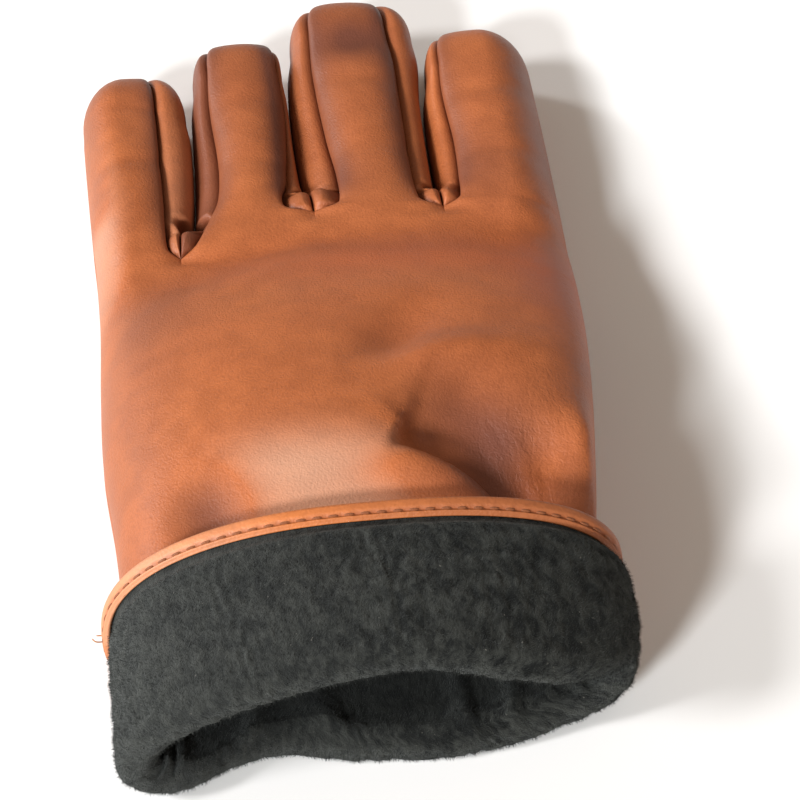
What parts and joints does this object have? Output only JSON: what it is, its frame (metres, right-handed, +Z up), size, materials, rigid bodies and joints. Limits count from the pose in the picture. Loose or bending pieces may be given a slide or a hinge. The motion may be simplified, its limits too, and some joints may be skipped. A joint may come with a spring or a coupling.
{
  "type": "fleece-lined leather glove",
  "caption": "Left-hand leather dress glove lined with fleece, lying palm down with its cuff turned back over the wrist.",
  "frame": {"origin": "on the surface the glove lies on, under the middle of its outline", "axes": "+Y from the cuff to the fingertips, +X across the hand towards the forefinger, +Z up out of the back of the hand"},
  "size_m": [0.101, 0.2158, 0.0428],
  "materials": {
    "tan_leather": "soft grained nappa with a satin sheen",
    "hem_leather": "thinner strip of the same leather, stitched",
    "charcoal_fleece": "matt short-pile fleece"
  },
  "bodies": {
    "root": {"back_panel": "tan_leather", "palm_panel": "tan_leather", "thumb": "tan_leather", "fourchette_little_inner": "tan_leather", "fourchette_ring_outer": "tan_leather", "fourchette_ring_inner": "tan_leather", "fourchette_middle_outer": "tan_leather", "fourchette_middle_inner": "tan_leather", "fourchette_index_outer": "tan_leather", "fleece_lining": "charcoal_fleece", "hem_band": "hem_leather"}
  },
  "joints": []
}
